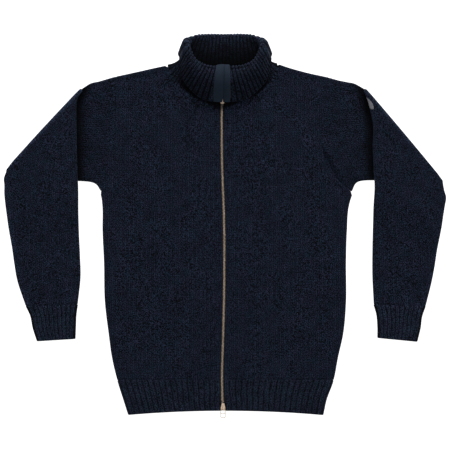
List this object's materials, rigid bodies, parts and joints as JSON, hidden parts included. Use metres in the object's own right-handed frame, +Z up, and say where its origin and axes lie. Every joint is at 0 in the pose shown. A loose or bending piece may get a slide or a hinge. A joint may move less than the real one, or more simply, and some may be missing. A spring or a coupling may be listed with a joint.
{
  "type": "wool cardigan",
  "caption": "Full-zip knitted wool cardigan laid flat, front up: rolled rib collar, ribbed hem and cuffs, both sleeves folded over, wire zip pull at the hem.",
  "frame": {"origin": "middle of the outline, on the surface the garment lies on", "axes": "+Z up from the surface, +Y towards the collar, wearer's right arm at -X"},
  "size_m": [0.926, 0.8054, 0.0377],
  "materials": {
    "navy_wool_knit": "matt, slightly fuzzy heathered wool",
    "navy_wool_rib": "matt ribbed wool",
    "zip_tape": "woven tape, matt",
    "zip_metal": "aged, satin",
    "facing_tape": "grosgrain, faint sheen",
    "patch_cloth": "woven, matt"
  },
  "bodies": {
    "garment": {"body_back": "navy_wool_knit", "front_right": "navy_wool_knit", "front_left": "navy_wool_knit", "sleeve_right": "navy_wool_knit", "sleeve_left": "navy_wool_knit", "hem_rib_back": "navy_wool_rib", "hem_rib_front_right": "navy_wool_rib", "hem_rib_front_left": "navy_wool_rib", "cuff_right": "navy_wool_rib", "cuff_left": "navy_wool_rib", "collar": "navy_wool_rib", "zip_stringer_right": "zip_tape", "zip_stringer_left": "zip_tape", "facing_right": "facing_tape", "facing_left": "facing_tape", "slider_bottom": "zip_metal", "slider_top": "zip_metal", "slider_top_pull": "zip_metal", "sleeve_patch": "patch_cloth"},
    "zip_pull": {"pull_tab": "zip_metal"}
  },
  "joints": [
    {"name": "pull_hinge", "type": "hinge", "parent": "garment", "child": "zip_pull", "pos_m": [-0.0042, -0.3855, 0.0096], "axis": [-1, 0, 0], "range_deg": [0, 175]}
  ]
}
